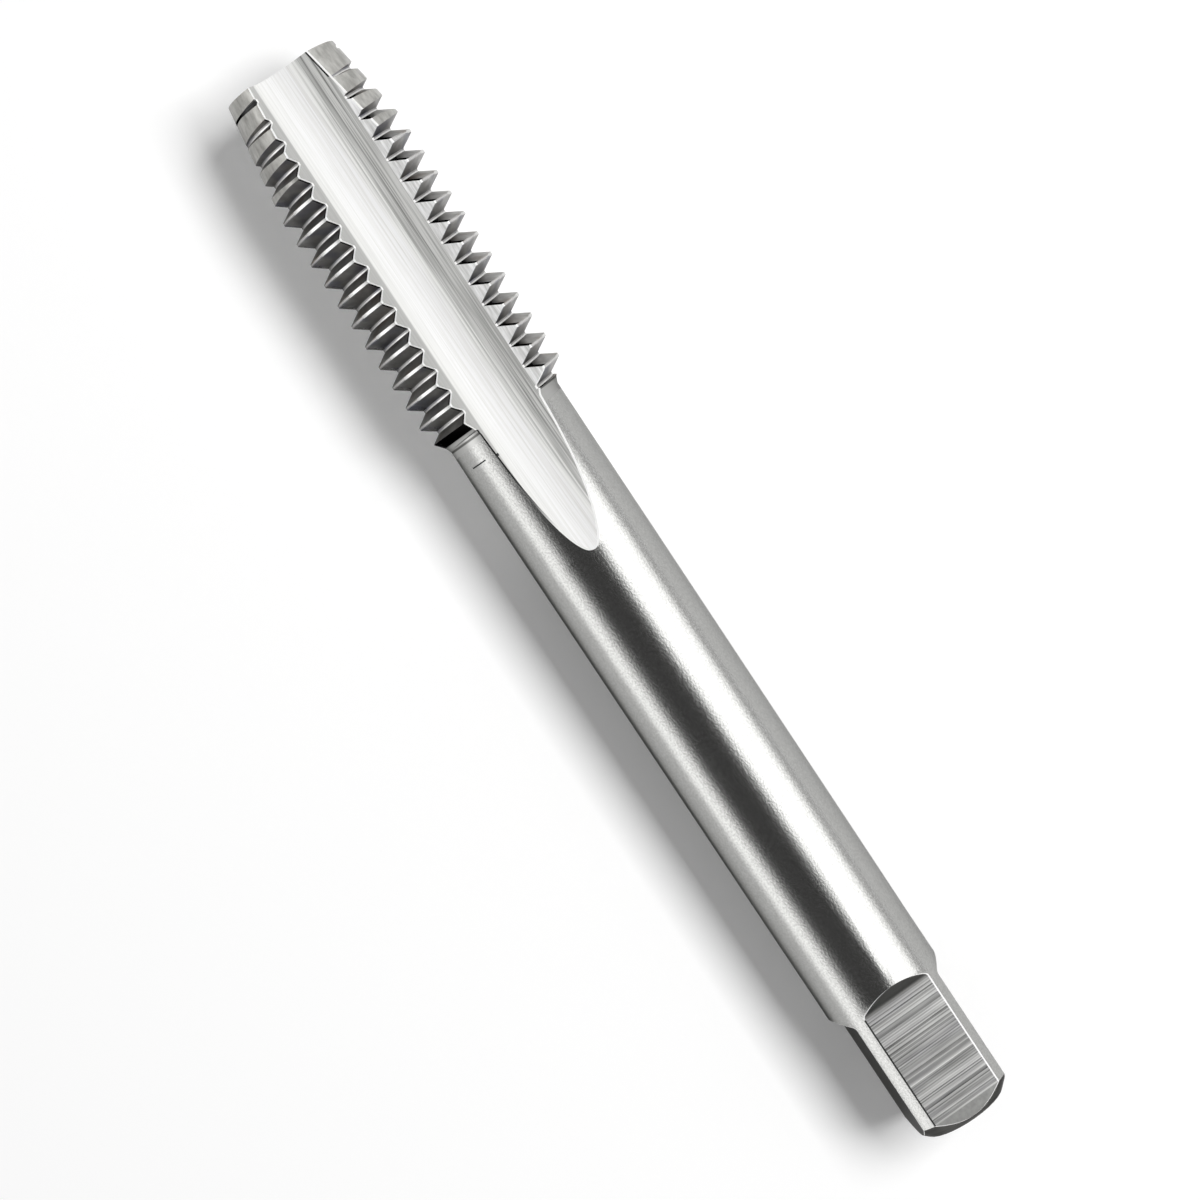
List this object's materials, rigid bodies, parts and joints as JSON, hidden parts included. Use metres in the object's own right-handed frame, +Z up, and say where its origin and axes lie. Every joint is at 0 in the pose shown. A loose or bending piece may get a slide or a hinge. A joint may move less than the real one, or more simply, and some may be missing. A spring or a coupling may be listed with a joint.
{
  "type": "thread tap",
  "caption": "Straight-flute hand tap: relieved lead, ground fluted thread, plain shank and square drive end.",
  "frame": {"origin": "under the middle of the tap, at the level that its lands rest on", "axes": "+X along the tap from its cutting tip to its square end, +Z up with one flute uppermost"},
  "size_m": [0.078, 0.0098, 0.0095],
  "materials": {
    "high_speed_steel": "ground bright"
  },
  "bodies": {
    "root": {"thread_tap": "high_speed_steel"}
  },
  "joints": []
}
